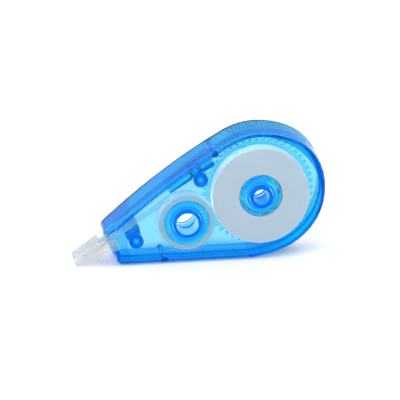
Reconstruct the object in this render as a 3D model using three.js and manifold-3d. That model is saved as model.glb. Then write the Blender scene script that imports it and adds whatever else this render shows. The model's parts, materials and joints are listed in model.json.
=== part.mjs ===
// Correction tape: a teardrop case of two clear blue shells round a geared pair of reels.
// Millimetres, +Z up. The case stands on its lower edge, the tip points along -X and the
// front cover faces -Y. Every reel turns about an axis along Y.
import * as THREE from 'three';
import { mergeVertices } from 'three/addons/utils/BufferGeometryUtils.js';
import Module from 'manifold-3d';

const wasm = await Module();
wasm.setup();

// Driving dimensions: case
const CASE_DEPTH = 15.6;
const WALL = 1.2;
const FRONT_WALL = 1.0;
const SEAM_DEPTH = 5.7;
const FRONT_FILLET = 1.0;
const REAR_FILLET = 0.5;
const FRONT_TAPER = 0.5;
const SEAM_GAP = 0.3;
const LIP_THICKNESS = 0.5;
const LIP_HEIGHT = 0.9;
const LIP_CLEARANCE = 0.4;
const RIM_CLEARANCE = 0.35;
const CROWN_RISE = 1.9;
const SHOULDER_RISE = 0.85;
const BASE_DROP = 1.1;
const UPPER_EDGE_BULGE = 1.8;
const NOSE_REACH = 26.6;
const NOSE_HEIGHT = 9.9;
const NOSE_RAKE = 4.4;
const INNER_CORNER_RADIUS = 1.0;

// Driving dimensions: gear train
const ROLL_INSIDE_PITCH = 1.55;
const SUPPLY_TEETH = 49;
const TAKE_UP_TEETH = 22;
const PRESSURE_ANGLE = THREE.MathUtils.degToRad(20);
const TOOTH_BACKLASH = 0.2;
const CENTRE_EASE = 0.12;
const ADDENDUM = 0.95;
const DEDENDUM = 1.2;
const GEAR_THICKNESS = 1.6;
const RIM_STEP_SHARE = 0.36;
const TRAIN_ANGLE = THREE.MathUtils.degToRad(197.7);

// Driving dimensions: tape and reels
const TAPE_WIDTH = 5.0;
const TAPE_THICKNESS = 0.2;
const ROLL_INSET = 1.0;
const ROLL_RADIUS = 15.6;
const ROLL_GAP = 0.37;
const OUTER_TURN = 0.22;
const SEAT_GAP = 0.3;
const STRAND_GAP = 0.2;
const TURN_OPENING = THREE.MathUtils.degToRad(7);
const SPOOL_FLANGE_RIM = 0.1;
const SPOOL_FLANGE_THICKNESS = 0.6;
const SPOOL_WALL = 0.6;
const CLUTCH_RIBS = 12;
const CLUTCH_RIB_HEIGHT = 0.35;
const CLUTCH_RIB_WIDTH = 0.7;
const WASHER_THICKNESS = 0.4;
const WASHER_RADIUS = 11.5;
const CLIP_THICKNESS = 0.6;
const CLIP_TABS = 5;
const CLIP_TAB_WIDTH = 1.4;
const TAKE_UP_WALL = 1.2;
const TAKE_UP_FLANGE_THICKNESS = 0.4;
const TAKE_UP_FLANGE_RIM = 0.7;
const TAKE_UP_FLANGE_TEETH = 48;
const TAKE_UP_TOOTH_DEPTH = 0.3;
const TAKE_UP_REAR_INSET = 0.1;

// Driving dimensions: axles and assembly posts
const SUPPLY_BOSS_BORE = 2.55;
const TAKE_UP_BOSS_BORE = 3.5;
const BOSS_WALL = 0.95;
const BOSS_CLEARANCE = 0.3;
const AXLE_WALL = 0.75;
const RUNNING_CLEARANCE = 0.3;
const SLEEVE_WALL = 0.55;
const BOSS_PAST_SEAM = 3.1;
const END_FLOAT = 0.35;
const POST_RADIUS = 2.3;
const PIN_RADIUS = 1.4;
const PIN_CORE = 0.9;
const PIN_CLEARANCE = 0.25;
const UPPER_POST_ANGLE = THREE.MathUtils.degToRad(161.1);
const LOWER_POST_INSET = 10.3;
const LOWER_POST_DROP = 5.1;

// Driving dimensions: guides, grip and applicator
const GUIDE_THICKNESS = 0.9;
const GUIDE_AIM_DROP = 1.1;
const GUIDE_ABOVE_POST = 0.05;
const GUIDE_BEFORE_POST = 6.5;
const GUIDE_SHARE = 0.287;
const CROSS_RIB_HEIGHT = 0.9;
const CROSS_RIB_WIDTH = 1.0;
const LOWER_RIB_SHARE = 0.68;
const GUSSET_HEIGHT = 4.6;
const GUSSET_REACH = 3.1;
const GRIP_PITCH = 1.2;
const GRIP_DEPTH = 0.14;
const GRIP_START = THREE.MathUtils.degToRad(14);
const GRIP_END = THREE.MathUtils.degToRad(128);
const GROOVE_WIDTH = 0.5;
const GROOVE_DEPTH = 0.25;
const GROOVE_TRIM = 4;
const GROOVE_PAST_SEAM = 4.8;
const TIP_TILT = THREE.MathUtils.degToRad(21.4);
const CAP_GAP = 2.6;
const CAP_PAST_BLADE = 2.45;
const CAP_WALL = 0.5;
const CAP_MOUTH_HEIGHT = 6.9;
const CAP_MOUTH_WIDTH = 8.8;
const CAP_END_HEIGHT = 3.0;
const CAP_END_WIDTH = 6.0;
const CAP_CORNER = 0.55;
const BLADE_REACH = 7.3;
const BLADE_DROP = 0.4;
const BLADE_EDGE = 0.3;
const FLANGE_REACH = 3.0;
const FLANGE_TOP = 2.45;
const FLANGE_BOTTOM = -1.8;
const FLANGE_THICKNESS = 0.45;
const FLANGE_CLEARANCE = 0.25;
const TIP_RISE = 0.35;
const HEAD_ROOT = 5.4;
const NOSE_OPENING_CLEARANCE = 0.3;

// Facet counts
const ROUND_STEPS = 44;
const POST_STEPS = 20;
const CORNER_STEPS = 4;
const CROWN_STEP = THREE.MathUtils.degToRad(7);

// Radii and places worked out from the driving dimensions
const gearModule = (2 * (ROLL_RADIUS + ROLL_INSIDE_PITCH)) / SUPPLY_TEETH;
const pitchRadius = (teeth) => (teeth * gearModule) / 2;
const tipRadius = (teeth) => pitchRadius(teeth) + ADDENDUM * gearModule;
const rootRadius = (teeth) => pitchRadius(teeth) - DEDENDUM * gearModule;
const tightRadius = tipRadius(SUPPLY_TEETH) + RIM_CLEARANCE + WALL;
const frontY = -CASE_DEPTH / 2;
const rearY = CASE_DEPTH / 2;
const innerFrontY = frontY + FRONT_WALL;
const innerRearY = rearY - WALL;
const tapeY = innerFrontY + ROLL_INSET + TAPE_WIDTH / 2;
const partingY = frontY + SEAM_DEPTH;
const supply = new THREE.Vector2(0, tightRadius + BASE_DROP);
const centreDistance = pitchRadius(SUPPLY_TEETH) + pitchRadius(TAKE_UP_TEETH) + CENTRE_EASE;
const takeUp = polar(supply, centreDistance, TRAIN_ANGLE);
const linerRollRadius = centreDistance - ROLL_RADIUS - ROLL_GAP;
const spoolFlangeRadius = ROLL_RADIUS + SPOOL_FLANGE_RIM;
const takeUpFlangeRadius = linerRollRadius + TAKE_UP_FLANGE_RIM;
const takeUpRearRadius = linerRollRadius - TAKE_UP_REAR_INSET;
const rollNearY = tapeY - TAPE_WIDTH / 2;
const rollFarY = tapeY + TAPE_WIDTH / 2;
const flangeNearY = rollFarY + SEAT_GAP;
const flangeFarY = flangeNearY + SPOOL_FLANGE_THICKNESS;
const washerNearY = flangeFarY + SEAT_GAP;
const washerFarY = washerNearY + WASHER_THICKNESS;
const gearNearY = washerFarY + SEAT_GAP;
const gearFarY = gearNearY + GEAR_THICKNESS;
const clipNearY = rollNearY;
const clipFarY = clipNearY + CLIP_THICKNESS;
const hubNearY = clipFarY + SEAT_GAP;
const discFarY = rollNearY - SEAT_GAP;
const discNearY = discFarY - TAKE_UP_FLANGE_THICKNESS;
const axleEndY = innerFrontY + END_FLOAT;
const grooveY = partingY + GROOVE_PAST_SEAM;
const bossEndY = partingY + BOSS_PAST_SEAM;

// One axle: a boss on the front cover inside a tube on the rear cover, with a sleeve on it
function axle(bore) {
  const bossOuter = bore + BOSS_WALL;
  const tubeInner = bossOuter + BOSS_CLEARANCE;
  const tubeOuter = tubeInner + AXLE_WALL;
  const sleeveInner = tubeOuter + RUNNING_CLEARANCE;
  return { bore, bossOuter, tubeInner, tubeOuter, sleeveInner };
}
const supplyAxle = axle(SUPPLY_BOSS_BORE);
const takeUpAxle = axle(TAKE_UP_BOSS_BORE);
const sleeveOuter = supplyAxle.sleeveInner + SLEEVE_WALL;
const spoolInner = sleeveOuter + RUNNING_CLEARANCE + CLUTCH_RIB_HEIGHT;
const spoolOuter = spoolInner + SPOOL_WALL;
const takeUpHub = takeUpAxle.sleeveInner + TAKE_UP_WALL;

const upperPostRadius = tipRadius(SUPPLY_TEETH) + POST_RADIUS + RIM_CLEARANCE;
const upperPost = polar(supply, upperPostRadius, UPPER_POST_ANGLE);
const noseTop = new THREE.Vector2(takeUp.x - NOSE_REACH, NOSE_HEIGHT);
const lowerPost = new THREE.Vector2(noseTop.x + LOWER_POST_INSET, takeUp.y - LOWER_POST_DROP);
const noseFoot = new THREE.Vector2(noseTop.x + NOSE_RAKE, 0);
const capLength = BLADE_REACH + CAP_PAST_BLADE;
const capCentre = new THREE.Vector2(
  (noseTop.x + noseFoot.x) / 2 - CAP_GAP,
  NOSE_HEIGHT / 2 + TIP_RISE,
);

// Materials
const shellPlastic = new THREE.MeshStandardMaterial({
  color: 0x1f8fe6, roughness: 0.12, metalness: 0, transparent: true, opacity: 0.45,
});
const gearPlastic = new THREE.MeshStandardMaterial({
  color: 0x36a4ee, roughness: 0.2, metalness: 0, transparent: true, opacity: 0.6,
});
const clearPlastic = new THREE.MeshStandardMaterial({
  color: 0xe6edf2, roughness: 0.15, metalness: 0, transparent: true, opacity: 0.45,
});
const whitePlastic = new THREE.MeshStandardMaterial({ color: 0xe9edf0, roughness: 0.45 });
const tapeWhite = new THREE.MeshStandardMaterial({ color: 0xf2f4f5, roughness: 0.7 });
const linerPaper = new THREE.MeshStandardMaterial({ color: 0xd3dbe2, roughness: 0.55 });
const rubber = new THREE.MeshStandardMaterial({ color: 0x8fa3b3, roughness: 0.85 });

// Geometry helpers
function polar(centre, radius, angle) {
  return new THREE.Vector2(
    centre.x + radius * Math.cos(angle),
    centre.y + radius * Math.sin(angle),
  );
}

function solid(geometry) {
  const bare = geometry.clone();
  bare.deleteAttribute('normal');
  bare.deleteAttribute('uv');
  const merged = mergeVertices(bare, 1e-4);
  const vertProperties = new Float32Array(merged.attributes.position.array);
  const triVerts = new Uint32Array(merged.index.array);
  return new wasm.Manifold(new wasm.Mesh({ numProp: 3, vertProperties, triVerts }));
}

function join(...pieces) {
  return pieces.reduce((sum, piece) => sum.add(piece));
}

function cut(piece, ...tools) {
  return tools.reduce((rest, tool) => rest.subtract(tool), piece);
}

// A shape drawn in X and Z, thickened from y = near to y = far
function slab(points, near, far, holes = []) {
  const shape = new THREE.Shape(points);
  shape.holes = holes.map((hole) => new THREE.Path(hole));
  const geometry = new THREE.ExtrudeGeometry(shape, { depth: far - near, bevelEnabled: false });
  geometry.rotateX(Math.PI / 2);
  geometry.translate(0, far, 0);
  return solid(geometry);
}

// A closed profile of (radius, y) pairs turned about a reel's axis
function turned(centre, profile, steps = ROUND_STEPS) {
  const points = profile.map(([r, y]) => new THREE.Vector2(r, y));
  points.push(points[0].clone());
  const geometry = new THREE.LatheGeometry(points, steps);
  geometry.translate(centre.x, 0, centre.y);
  return solid(geometry);
}

function ring(centre, inner, outer, near, far, steps) {
  return turned(centre, [[inner, near], [outer, near], [outer, far], [inner, far]], steps);
}

function disc(centre, radius, near, far, steps) {
  const points = [[0, near], [radius, near], [radius, far], [0, far]];
  const profile = points.map(([r, y]) => new THREE.Vector2(r, y));
  const geometry = new THREE.LatheGeometry(profile, steps);
  geometry.translate(centre.x, 0, centre.y);
  return solid(geometry);
}

// A skin over convex sections that have the same number of points, closed at both ends
function loft(sections) {
  const count = sections[0].length;
  const positions = sections.flat().flatMap((p) => [p.x, p.y, p.z]);
  const index = [];
  for (let s = 0; s + 1 < sections.length; s++) {
    for (let k = 0; k < count; k++) {
      const a = s * count + k;
      const b = s * count + ((k + 1) % count);
      index.push(a, a + count, b, b, a + count, b + count);
    }
  }
  const last = (sections.length - 1) * count;
  for (let k = 1; k + 1 < count; k++) {
    index.push(0, k, k + 1);
    index.push(last, last + k + 1, last + k);
  }
  const geometry = new THREE.BufferGeometry();
  geometry.setAttribute('position', new THREE.Float32BufferAttribute(positions, 3));
  geometry.setIndex(index);
  return solid(geometry);
}

// Outline of the case at the parting plane, anticlockwise as seen from the front
function crownRadius(angle) {
  const from = THREE.MathUtils.degToRad(-60);
  const to = THREE.MathUtils.degToRad(28);
  const shoulder = THREE.MathUtils.degToRad(41);
  const reach = THREE.MathUtils.degToRad(45);
  const off = Math.min(1, Math.abs(angle - shoulder) / reach);
  const bump = Math.cos((off * Math.PI) / 2) ** 2;
  const rise = CROWN_RISE * THREE.MathUtils.smoothstep(angle, from, to);
  return tightRadius + rise + SHOULDER_RISE * bump;
}

function corner(path, vertex, before, after, radius) {
  const inward = before.clone().sub(vertex).normalize();
  const outward = after.clone().sub(vertex).normalize();
  const half = Math.acos(inward.dot(outward)) / 2;
  const length = radius / Math.tan(half);
  const start = inward.multiplyScalar(length).add(vertex);
  const end = outward.multiplyScalar(length).add(vertex);
  const centreLine = start.clone().add(end).multiplyScalar(0.5).sub(vertex).normalize();
  const centre = centreLine.multiplyScalar(radius / Math.sin(half)).add(vertex);
  path.lineTo(start.x, start.y);
  const from = Math.atan2(start.y - centre.y, start.x - centre.x);
  let sweep = Math.atan2(end.y - centre.y, end.x - centre.x) - from;
  if (sweep < 0) sweep += 2 * Math.PI;
  for (let k = 1; k <= CORNER_STEPS; k++) {
    const p = polar(centre, radius, from + (sweep * k) / CORNER_STEPS);
    path.lineTo(p.x, p.y);
  }
}

const CROWN_FROM = THREE.MathUtils.degToRad(-72);
const CROWN_TO = THREE.MathUtils.degToRad(118);

function upperEdge() {
  const start = polar(supply, crownRadius(CROWN_TO), CROWN_TO);
  const middle = start.clone().add(noseTop).multiplyScalar(0.5);
  const control = new THREE.Vector2(middle.x, middle.y + 2 * UPPER_EDGE_BULGE);
  return new THREE.QuadraticBezierCurve(start, control, noseTop.clone());
}

function caseOutline() {
  const path = new THREE.Path();
  const heel = polar(supply, crownRadius(CROWN_FROM), CROWN_FROM);
  const heelSlope = CROWN_FROM + Math.PI / 2;
  const heelCorner = new THREE.Vector2(heel.x - heel.y / Math.tan(heelSlope), 0);
  const flatEnd = new THREE.Vector2(heelCorner.x - (heel.x - heelCorner.x) / 2, 0);
  path.moveTo(flatEnd.x, flatEnd.y);
  path.quadraticCurveTo(heelCorner.x, heelCorner.y, heel.x, heel.y);
  const steps = Math.round((CROWN_TO - CROWN_FROM) / CROWN_STEP);
  for (let k = 1; k <= steps; k++) {
    const angle = CROWN_FROM + ((CROWN_TO - CROWN_FROM) * k) / steps;
    const p = polar(supply, crownRadius(angle), angle);
    path.lineTo(p.x, p.y);
  }
  const edge = upperEdge();
  const cornerRadius = INNER_CORNER_RADIUS + WALL;
  const edgeEnd = 0.94;
  for (let k = 1; k <= 8; k++) {
    const p = edge.getPoint((edgeEnd * k) / 8);
    path.lineTo(p.x, p.y);
  }
  corner(path, noseTop, edge.getPoint(edgeEnd), noseFoot, cornerRadius);
  corner(path, noseFoot, noseTop, flatEnd, cornerRadius);
  path.closePath();
  const points = path.getPoints(4);
  return points.filter((p, k) => p.distanceTo(points[(k + 1) % points.length]) > 1e-3);
}

const outline = caseOutline();

// The outline moved inwards by the same distance all round
function inset(points, distance) {
  const count = points.length;
  return points.map((p, k) => {
    const before = p.clone().sub(points[(k + count - 1) % count]).normalize();
    const after = points[(k + 1) % count].clone().sub(p).normalize();
    const inward = new THREE.Vector2(-before.y - after.y, before.x + after.x).normalize();
    const stretch = inward.dot(new THREE.Vector2(-before.y, before.x));
    return p.clone().add(inward.multiplyScalar(distance / stretch));
  });
}

function outlineAt(y, distance) {
  return inset(outline, distance).map((p) => new THREE.Vector3(p.x, y, p.y));
}

// A band that follows the outline between two insets
function rimBand(outerInset, innerInset, near, far) {
  const outer = inset(outline, outerInset);
  const inner = inset(outline, innerInset).reverse();
  return slab(outer, near, far, [inner]);
}

function taperAt(y) {
  return (FRONT_TAPER * (partingY - y)) / (partingY - frontY);
}

function caseBody() {
  const sections = [];
  for (let k = 0; k <= 3; k++) {
    const turn = (k * Math.PI) / 6;
    const y = frontY + FRONT_FILLET * (1 - Math.cos(turn));
    sections.push(outlineAt(y, taperAt(y) + FRONT_FILLET * (1 - Math.sin(turn))));
  }
  sections.push(outlineAt(partingY, 0));
  for (let k = 3; k >= 0; k--) {
    const turn = (k * Math.PI) / 6;
    const y = rearY - REAR_FILLET * (1 - Math.cos(turn));
    sections.push(outlineAt(y, REAR_FILLET * (1 - Math.sin(turn))));
  }
  return loft(sections);
}

function caseCavity() {
  return loft([
    outlineAt(innerFrontY, WALL + taperAt(innerFrontY)),
    outlineAt(partingY, WALL),
    outlineAt(innerRearY, WALL),
  ]);
}

// A block that takes in everything between two depths
function depthBlock(near, far) {
  const size = 400;
  const box = new THREE.BoxGeometry(size, far - near, size);
  box.translate(0, (near + far) / 2, 0);
  return solid(box);
}

// Points in the applicator's own axes: s runs out of the nose, n is square to it
const tipOut = new THREE.Vector2(-Math.cos(TIP_TILT), -Math.sin(TIP_TILT));
const tipUp = new THREE.Vector2(tipOut.y, -tipOut.x);
function tipPoint(s, n) {
  return capCentre.clone().addScaledVector(tipOut, s).addScaledVector(tipUp, n);
}

function noseOpening() {
  const bottom = FLANGE_BOTTOM - NOSE_OPENING_CLEARANCE;
  const half = headHalfWidth + NOSE_OPENING_CLEARANCE;
  const over = tipUp.clone().multiplyScalar(TAPE_THICKNESS / 2 + 1.5 * NOSE_OPENING_CLEARANCE);
  const tapeRun = guideTopEnd.clone().sub(bladeTapeStart);
  const onTape = (x) => bladeTapeStart.clone()
    .addScaledVector(tapeRun, (x - bladeTapeStart.x) / tapeRun.x).add(over);
  const reach = CAP_GAP + 3;
  const corners = [
    tipPoint(0, bottom), onTape(noseTop.x - 2.5), onTape(noseFoot.x), tipPoint(-reach, bottom),
  ];
  return slab(corners.reverse(), tapeY - half, tapeY + half);
}
const headHalfWidth = TAPE_WIDTH / 2 + FLANGE_CLEARANCE + FLANGE_THICKNESS;

// Tape guide: a rib that starts over the upper post and runs down beside the upper edge
const guideLine = (() => {
  const aim = new THREE.Vector2(noseTop.x, noseTop.y - GUIDE_AIM_DROP);
  const overPost = tangentTo(upperPost, POST_RADIUS + GUIDE_ABOVE_POST, aim, 1).point;
  const along = aim.clone().sub(overPost).normalize();
  const inward = new THREE.Vector2(-along.y, along.x);
  const start = overPost.clone().addScaledVector(along, -GUIDE_BEFORE_POST);
  const end = overPost.clone().lerp(aim, GUIDE_SHARE);
  return { start, end, along, inward };
})();

function guideRib() {
  const { start, end, along, inward } = guideLine;
  const thickEnd = start.clone().addScaledVector(inward, 1.5 * GUIDE_THICKNESS);
  const middle = start.clone().addScaledVector(along, GUIDE_BEFORE_POST);
  const underMiddle = middle.clone().addScaledVector(inward, 1.1 * GUIDE_THICKNESS);
  const tipUnder = end.clone().addScaledVector(inward, GUIDE_THICKNESS * 0.45);
  const points = [start, end, tipUnder, underMiddle, thickEnd];
  const rib = slab(points, rollNearY - SEAT_GAP, innerRearY + 0.2);
  return cut(rib, disc(supply, tipRadius(SUPPLY_TEETH) + RIM_CLEARANCE, rollFarY, innerRearY, 72));
}

// Gusset on the lower post, under the used liner
function lowerGusset() {
  const apex = new THREE.Vector2(lowerPost.x + 1.0, lowerPost.y + GUSSET_HEIGHT);
  const foot = new THREE.Vector2(lowerPost.x - GUSSET_REACH, lowerPost.y + 1.2);
  const points = [apex, foot, lowerPost.clone().add(new THREE.Vector2(-1.4, -1.2)),
    lowerPost.clone().add(new THREE.Vector2(1.9, 0))];
  return slab(points, rollNearY - SEAT_GAP, innerRearY + 0.2);
}

// Short stiffening ribs across the inside of the rim
function crossRib(at, inward) {
  const along = new THREE.Vector2(-inward.y, inward.x).multiplyScalar(CROSS_RIB_WIDTH / 2);
  const outer = at.clone().addScaledVector(inward, WALL * 0.8);
  const inner = at.clone().addScaledVector(inward, WALL + CROSS_RIB_HEIGHT);
  const points = [
    outer.clone().add(along), outer.clone().sub(along),
    inner.clone().sub(along), inner.clone().add(along),
  ];
  return points;
}

function upperCrossRib(near, far) {
  const edge = upperEdge();
  const at = edge.getPoint(0.12);
  const tangent = edge.getTangent(0.12);
  return slab(crossRib(at, new THREE.Vector2(-tangent.y, tangent.x)), near, far);
}

function lowerCrossRib(near, far) {
  const at = new THREE.Vector2(THREE.MathUtils.lerp(noseFoot.x, takeUp.x, LOWER_RIB_SHARE), 0);
  return slab(crossRib(at, new THREE.Vector2(0, 1)), near, far);
}

// Fine grip ridges: V cuts across the rear cover's rim
function gripCuts() {
  const near = partingY + 1;
  const far = rearY + 1;
  const mean = tightRadius + CROWN_RISE;
  const count = Math.round(((GRIP_END - GRIP_START) * mean) / GRIP_PITCH);
  const cuts = [];
  for (let k = 0; k <= count; k++) {
    const angle = GRIP_START + ((GRIP_END - GRIP_START) * k) / count;
    const onCrown = angle <= CROWN_TO;
    if (!onCrown) continue;
    const radius = crownRadius(angle);
    const half = (GRIP_PITCH * 0.42) / radius;
    const deep = radius - GRIP_DEPTH;
    const high = radius + 0.3;
    const points = [
      polar(supply, deep, angle), polar(supply, high, angle + half), polar(supply, high, angle - half),
    ];
    cuts.push(slab(points.reverse(), near, far));
  }
  return cuts.reduce((sum, piece) => sum.add(piece));
}

// A shallow line along the rear cover's upper edge, from the nose to the cross rib
function rimGroove() {
  const band = rimBand(-0.5, GROOVE_DEPTH, grooveY - GROOVE_WIDTH / 2, grooveY + GROOVE_WIDTH / 2);
  const edge = upperEdge();
  const keep = [edge.getPoint(0.13), edge.getPoint(0.9)];
  const lift = new THREE.Vector2(0, GROOVE_TRIM);
  const points = [
    keep[0].clone().sub(lift), keep[0].clone().add(lift),
    keep[1].clone().add(lift), keep[1].clone().sub(lift),
  ];
  return band.intersect(slab(points, grooveY - 2, grooveY + 2));
}

// Front cover: a shallow tray with the two hollow bosses and the sockets of the posts
function frontCover() {
  const edgeY = partingY - SEAM_GAP / 2;
  const shell = cut(caseBody(), caseCavity()).intersect(depthBlock(frontY - 1, edgeY));
  const overlap = innerFrontY - 0.3;
  const bosses = [
    disc(supply, supplyAxle.bossOuter, overlap, bossEndY, ROUND_STEPS),
    disc(takeUp, takeUpAxle.bossOuter, overlap, bossEndY, ROUND_STEPS),
  ];
  const sockets = [upperPost, lowerPost].map((post) => disc(post, POST_RADIUS, overlap, edgeY, POST_STEPS));
  const bores = [
    disc(supply, supplyAxle.bore, frontY - 1, bossEndY + 1, ROUND_STEPS),
    disc(takeUp, takeUpAxle.bore, frontY - 1, bossEndY + 1, ROUND_STEPS),
  ];
  const socketHoles = [upperPost, lowerPost].map((post) => (
    disc(post, PIN_RADIUS + PIN_CLEARANCE, innerFrontY, edgeY + 1, POST_STEPS)));
  const ribEnd = edgeY - LIP_HEIGHT - SEAT_GAP;
  const ribs = [upperCrossRib(overlap, ribEnd), lowerCrossRib(overlap, ribEnd)];
  return cut(join(shell, ...bosses, ...sockets, ...ribs), ...bores, ...socketHoles, noseOpening());
}

// Rear cover: the deep half with the axle tubes, posts, guides, lip and grip
function rearCover() {
  const edgeY = partingY + SEAM_GAP / 2;
  const shell = cut(caseBody(), caseCavity()).intersect(depthBlock(edgeY, rearY + 1));
  const overlap = innerRearY + 0.3;
  const lipOuter = WALL + LIP_CLEARANCE;
  const lipInner = lipOuter + LIP_THICKNESS;
  const ledge = rimBand(WALL - 0.2, lipInner, edgeY, edgeY + LIP_HEIGHT);
  const lip = rimBand(lipOuter, lipInner, edgeY - LIP_HEIGHT, edgeY + 0.1);
  const tubes = [supply, takeUp].map((centre, k) => {
    const sizes = [supplyAxle, takeUpAxle][k];
    return disc(centre, sizes.tubeOuter, axleEndY, overlap, ROUND_STEPS);
  });
  const bores = [supply, takeUp].map((centre, k) => {
    const sizes = [supplyAxle, takeUpAxle][k];
    return disc(centre, sizes.tubeInner, axleEndY - 1, innerRearY, ROUND_STEPS);
  });
  const rearHoles = [
    disc(supply, supplyAxle.tubeInner, innerRearY - 1, rearY + 1, ROUND_STEPS),
    disc(takeUp, takeUpAxle.bossOuter - BOSS_CLEARANCE, innerRearY - 1, rearY + 1, ROUND_STEPS),
  ];
  const posts = [upperPost, lowerPost].map((post) => disc(post, POST_RADIUS, edgeY, overlap, POST_STEPS));
  const pins = [upperPost, lowerPost].map((post) => (
    disc(post, PIN_RADIUS, innerFrontY + END_FLOAT, edgeY + 1, POST_STEPS)));
  const ribs = [upperCrossRib(edgeY, overlap), lowerCrossRib(edgeY, overlap)];
  const clearNose = noseOpening();
  const seam = cut(join(ledge, lip), tapeRoom());
  const walls = cut(join(shell, seam), clearNose, gripCuts(), rimGroove());
  const socketRoom = [upperPost, lowerPost].map((post) => (
    disc(post, POST_RADIUS + PIN_CLEARANCE, frontY, edgeY, POST_STEPS)));
  const guides = cut(join(guideRib(), lowerGusset()), ...socketRoom);
  const inside = join(...tubes, ...posts, ...pins, ...ribs, guides);
  const cores = [upperPost, lowerPost].map((post) => (
    disc(post, PIN_CORE, innerFrontY, innerRearY, POST_STEPS)));
  return cut(join(walls, inside), ...bores, ...rearHoles, ...cores);
}

// Gear outline with involute flanks; one tooth is centred on the angle phase
function gearOutline(centre, teeth, phase) {
  const pitch = pitchRadius(teeth);
  const base = pitch * Math.cos(PRESSURE_ANGLE);
  const tip = tipRadius(teeth);
  const root = rootRadius(teeth);
  const involute = (angle) => Math.tan(angle) - angle;
  const halfAtPitch = Math.PI / (2 * teeth) - TOOTH_BACKLASH / (2 * pitch);
  const halfAt = (radius) => {
    const pressure = Math.acos(Math.min(1, base / radius));
    return halfAtPitch + involute(PRESSURE_ANGLE) - involute(pressure);
  };
  const flankRadii = [Math.max(root, base), pitch, tip];
  const points = [];
  for (let k = 0; k < teeth; k++) {
    const middle = phase + (k * 2 * Math.PI) / teeth;
    if (base > root) points.push(polar(centre, root, middle - halfAt(base)));
    flankRadii.forEach((radius) => points.push(polar(centre, radius, middle - halfAt(radius))));
    [...flankRadii].reverse().forEach((radius) => (
      points.push(polar(centre, radius, middle + halfAt(radius)))));
    if (base > root) points.push(polar(centre, root, middle + halfAt(base)));
  }
  return points;
}

function supplyGear() {
  const wheel = slab(gearOutline(supply, SUPPLY_TEETH, TRAIN_ANGLE), gearNearY, gearFarY);
  const collarEnd = innerRearY - END_FLOAT;
  const stepEnd = THREE.MathUtils.lerp(gearFarY, collarEnd, RIM_STEP_SHARE);
  const rimStep = ring(
    supply, WASHER_RADIUS + 1.2, rootRadius(SUPPLY_TEETH) - 1, gearFarY - 0.1, stepEnd);
  const hub = turned(supply, [
    [supplyAxle.sleeveInner, hubNearY], [sleeveOuter, hubNearY], [sleeveOuter, gearNearY + 0.2],
    [sleeveOuter + 1.2, gearNearY + 0.2], [sleeveOuter + 1.2, collarEnd],
    [supplyAxle.sleeveInner, collarEnd],
  ]);
  const bore = disc(supply, supplyAxle.sleeveInner, gearNearY - 1, gearFarY + 1, ROUND_STEPS);
  const windows = [];
  const windowCount = 6;
  for (let k = 0; k < windowCount; k++) {
    const angle = TRAIN_ANGLE + ((k + 0.5) * 2 * Math.PI) / windowCount;
    const radius = (WASHER_RADIUS + sleeveOuter) / 2 + 1.1;
    windows.push(disc(polar(supply, radius, angle), 1.6, gearNearY - 1, gearFarY + 1, POST_STEPS));
  }
  return cut(join(cut(wheel, bore, ...windows), rimStep), bore).add(hub);
}

function supplySpool() {
  const core = turned(supply, [
    [spoolInner, hubNearY], [spoolOuter, hubNearY], [spoolOuter, flangeNearY],
    [spoolFlangeRadius, flangeNearY], [spoolFlangeRadius, flangeFarY], [spoolInner, flangeFarY],
  ]);
  const ribs = [];
  for (let k = 0; k < CLUTCH_RIBS; k++) {
    const angle = (k * 2 * Math.PI) / CLUTCH_RIBS;
    const half = CLUTCH_RIB_WIDTH / 2 / spoolInner;
    const tip = spoolInner - CLUTCH_RIB_HEIGHT;
    const points = [
      polar(supply, tip, angle - half * 0.6), polar(supply, spoolInner + 0.3, angle - half),
      polar(supply, spoolInner + 0.3, angle + half), polar(supply, tip, angle + half * 0.6),
    ];
    ribs.push(slab(points, hubNearY, flangeFarY));
  }
  return join(core, ...ribs);
}

function frictionWasher() {
  return ring(supply, spoolInner + 0.6, WASHER_RADIUS, washerNearY, washerFarY);
}

// The clip covers the sleeve's end, and its tabs hold the spool on
function spoolClip() {
  const hoop = ring(supply, supplyAxle.sleeveInner, sleeveOuter, clipNearY, clipFarY);
  const tabs = [];
  for (let k = 0; k < CLIP_TABS; k++) {
    const angle = ((k + 0.25) * 2 * Math.PI) / CLIP_TABS;
    const half = CLIP_TAB_WIDTH / 2 / spoolOuter;
    const from = (supplyAxle.sleeveInner + sleeveOuter) / 2;
    const points = [
      polar(supply, from, angle - half), polar(supply, spoolOuter - SEAT_GAP, angle - half),
      polar(supply, spoolOuter - SEAT_GAP, angle + half), polar(supply, from, angle + half),
    ];
    tabs.push(slab(points, clipNearY, clipFarY));
  }
  return join(hoop, ...tabs);
}

// A wound roll: a plain core with one open turn of tape lying round it
function woundCore(centre, inner, radius) {
  const outer = radius - OUTER_TURN - SEAT_GAP;
  return ring(centre, inner, outer, rollNearY, rollFarY, 64);
}

function outerTurn(centre, radius, leaveAngle, direction) {
  const steps = 24;
  const sweep = (2 * Math.PI - TURN_OPENING) * direction;
  const outside = [];
  const inside = [];
  for (let k = 0; k <= steps * 2; k++) {
    const t = k / (steps * 2);
    const angle = leaveAngle + sweep * t;
    outside.push(polar(centre, radius - 0.04 * t, angle));
    inside.push(polar(centre, radius - OUTER_TURN - 0.04 * t, angle));
  }
  const endGap = outside[0].distanceTo(outside[outside.length - 1]);
  console.log(`outer turn: least gap to itself ${endGap.toFixed(2)} mm`);
  const points = [...outside, ...inside.reverse()];
  if (direction < 0) points.reverse();
  return slab(points, rollNearY, rollFarY);
}

// The straight line from a point to a circle: the touching point and its angle on the circle
function tangentTo(centre, radius, from, side) {
  const toCentre = centre.clone().sub(from);
  const distance = toCentre.length();
  const heading = Math.atan2(toCentre.y, toCentre.x) + side * Math.asin(radius / distance);
  const angle = heading + (side * Math.PI) / 2;
  return { point: polar(centre, radius, angle), angle };
}

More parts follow.
